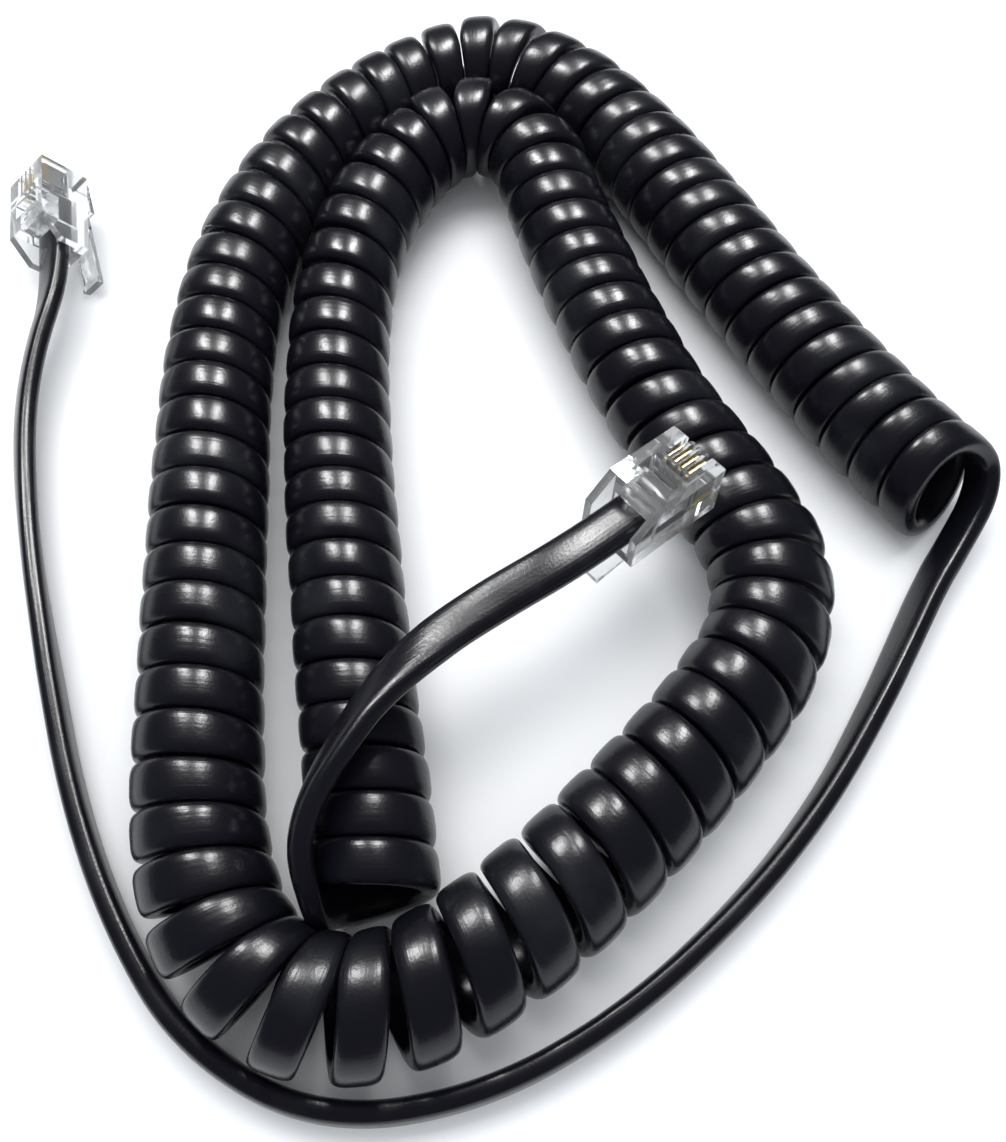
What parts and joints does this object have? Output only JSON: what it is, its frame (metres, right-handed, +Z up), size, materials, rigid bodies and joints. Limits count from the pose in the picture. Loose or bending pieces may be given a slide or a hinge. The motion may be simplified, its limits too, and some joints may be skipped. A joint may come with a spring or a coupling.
{
  "type": "coiled telephone handset cord",
  "caption": "Black curly handset cord folded into a flat double loop, with an uncoiled lead and a clear four-way modular plug at each end.",
  "frame": {"origin": "on the surface the cord lies on, under the middle of the whole outline", "axes": "+X to the right and +Y away from the viewer of the picture, along the long way of the loop, +Z up"},
  "size_m": [0.1233, 0.1457, 0.0205],
  "materials": {
    "cord_jacket": "black soft vinyl jacket, semi-gloss",
    "clear_plastic": "clear polycarbonate, gloss",
    "contact_gold": "gold-plated blade, polished",
    "wire_black": "insulation",
    "wire_red": "insulation",
    "wire_green": "insulation",
    "wire_yellow": "insulation"
  },
  "bodies": {
    "cord": {"coil": "cord_jacket", "lead_a": "cord_jacket", "lead_b": "cord_jacket", "plug_a_housing": "clear_plastic", "plug_a_jacket_end": "cord_jacket", "plug_a_jacket_bar": "clear_plastic", "plug_a_wire_bar": "clear_plastic", "plug_a_contact_1": "contact_gold", "plug_a_wire_1": "wire_black", "plug_a_contact_2": "contact_gold", "plug_a_wire_2": "wire_red", "plug_a_contact_3": "contact_gold", "plug_a_wire_3": "wire_green", "plug_a_contact_4": "contact_gold", "plug_a_wire_4": "wire_yellow", "plug_b_housing": "clear_plastic", "plug_b_jacket_end": "cord_jacket", "plug_b_jacket_bar": "clear_plastic", "plug_b_wire_bar": "clear_plastic", "plug_b_contact_1": "contact_gold", "plug_b_wire_1": "wire_yellow", "plug_b_contact_2": "contact_gold", "plug_b_wire_2": "wire_green", "plug_b_contact_3": "contact_gold", "plug_b_wire_3": "wire_red", "plug_b_contact_4": "contact_gold", "plug_b_wire_4": "wire_black"},
    "latch_a": {"plug_a_latch": "clear_plastic"},
    "latch_b": {"plug_b_latch": "clear_plastic"}
  },
  "joints": [
    {"name": "plug_a_latch_press", "type": "hinge", "parent": "cord", "child": "latch_a", "pos_m": [-0.05414, 0.04339, 0.00392], "axis": [-0.7583, -0.1109, -0.6424], "range_deg": [0, 10], "stiffness_Nm_per_rad": 0.25},
    {"name": "plug_b_latch_press", "type": "hinge", "parent": "cord", "child": "latch_b", "pos_m": [0.02492, -0.00889, 0.0123], "axis": [-0.6461, 0.7615, -0.052], "range_deg": [0, 10], "stiffness_Nm_per_rad": 0.25}
  ]
}
